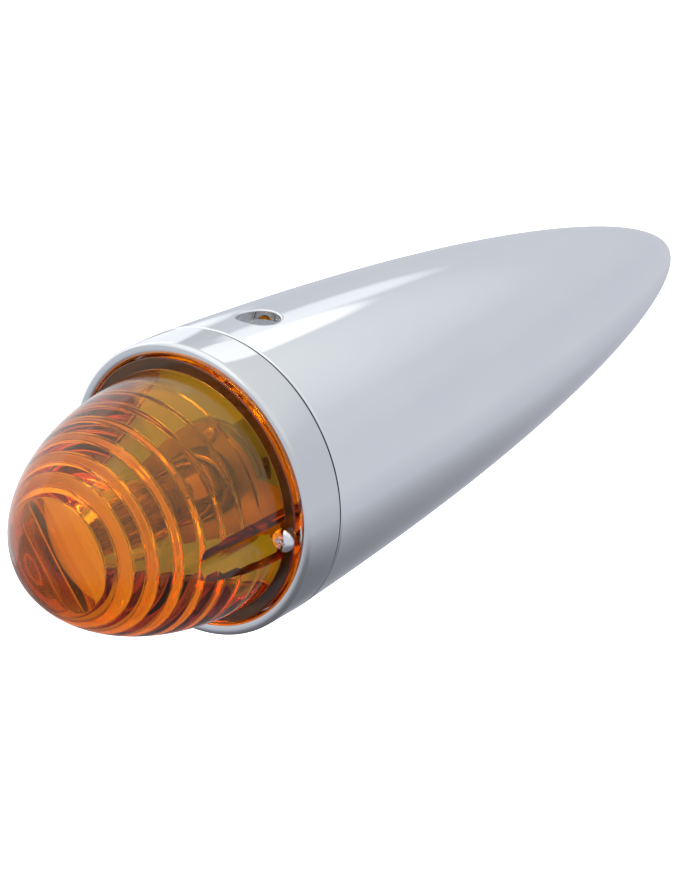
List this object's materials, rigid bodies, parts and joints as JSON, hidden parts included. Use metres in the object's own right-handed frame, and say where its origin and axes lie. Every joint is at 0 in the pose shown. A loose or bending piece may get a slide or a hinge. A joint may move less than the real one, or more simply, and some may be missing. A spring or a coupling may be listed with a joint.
{
  "type": "turn signal indicator",
  "caption": "Bullet-shaped motorcycle turn signal: chrome housing with a top stem hole, chrome front ring, amber stepped lens and a bayonet bulb inside.",
  "frame": {"origin": "centre of the round stem hole at the outer surface on top of the housing", "axes": "+Z out of the stem hole, +Y along the lamp axis towards the tapered tail (the lens faces -Y), +X to the right when looking at +Y"},
  "size_m": [0.068, 0.2439, 0.068],
  "materials": {
    "chrome": "bright chrome plate on die casting",
    "amber_lens": "transparent amber, glossy outside, stepped inside",
    "rubber": "matte",
    "zinc_plate": "zinc-plated pressed steel",
    "phenolic": "laminated phenolic board",
    "spring_steel": "drawn wire",
    "brass": "satin",
    "black_glass": "glossy",
    "solder": "soft satin",
    "clear_glass": "clear",
    "tungsten": "dull wire"
  },
  "bodies": {
    "body": {"housing": "chrome", "socket_bracket": "zinc_plate", "bracket_rivet_1": "zinc_plate", "bracket_rivet_2": "zinc_plate", "socket_shell": "zinc_plate", "socket_back": "phenolic", "contact_spring": "spring_steel"},
    "lens_cover": {"bezel": "chrome", "bezel_gasket": "rubber", "lens": "amber_lens", "lens_gasket": "rubber"},
    "screw_1": {"lens_screw_1": "chrome"},
    "screw_2": {"lens_screw_2": "chrome"},
    "contacts": {"contact_carrier": "phenolic", "contact_post_tail": "brass", "contact_post_turn": "brass"},
    "bulb": {"bulb_base": "brass", "bulb_pin_1": "brass", "bulb_pin_2": "brass", "bulb_insulator": "black_glass", "bulb_contact_tail": "solder", "bulb_contact_turn": "solder", "bulb_glass": "clear_glass", "bulb_stem": "clear_glass", "filament_tail": "tungsten", "filament_turn": "tungsten", "filament_support_1": "tungsten", "filament_support_2": "tungsten", "filament_support_3": "tungsten", "filament_support_4": "tungsten"}
  },
  "joints": [
    {"name": "lens_cover_off", "type": "slide", "parent": "body", "child": "lens_cover", "axis": [0, -1, 0], "range_m": [0, 0.06]},
    {"name": "screw_1_turn", "type": "hinge", "parent": "lens_cover", "child": "screw_1", "pos_m": [0.02805, -0.0259, -0.03618], "axis": [0, -1, 0], "continuous": true},
    {"name": "screw_2_turn", "type": "hinge", "parent": "lens_cover", "child": "screw_2", "pos_m": [-0.02805, -0.0259, -0.03028], "axis": [0, -1, 0], "continuous": true},
    {"name": "contact_press", "type": "slide", "parent": "body", "child": "contacts", "axis": [0, 1, 0], "range_m": [0, 0.002], "stiffness_N_per_m": 2500, "springref_m": -0.002, "deforming": ["contact_spring"]},
    {"name": "bulb_twist", "type": "hinge", "parent": "contacts", "child": "bulb", "pos_m": [0, -0.0139, -0.03323], "axis": [0, -1, 0], "range_deg": [0, 20]}
  ]
}
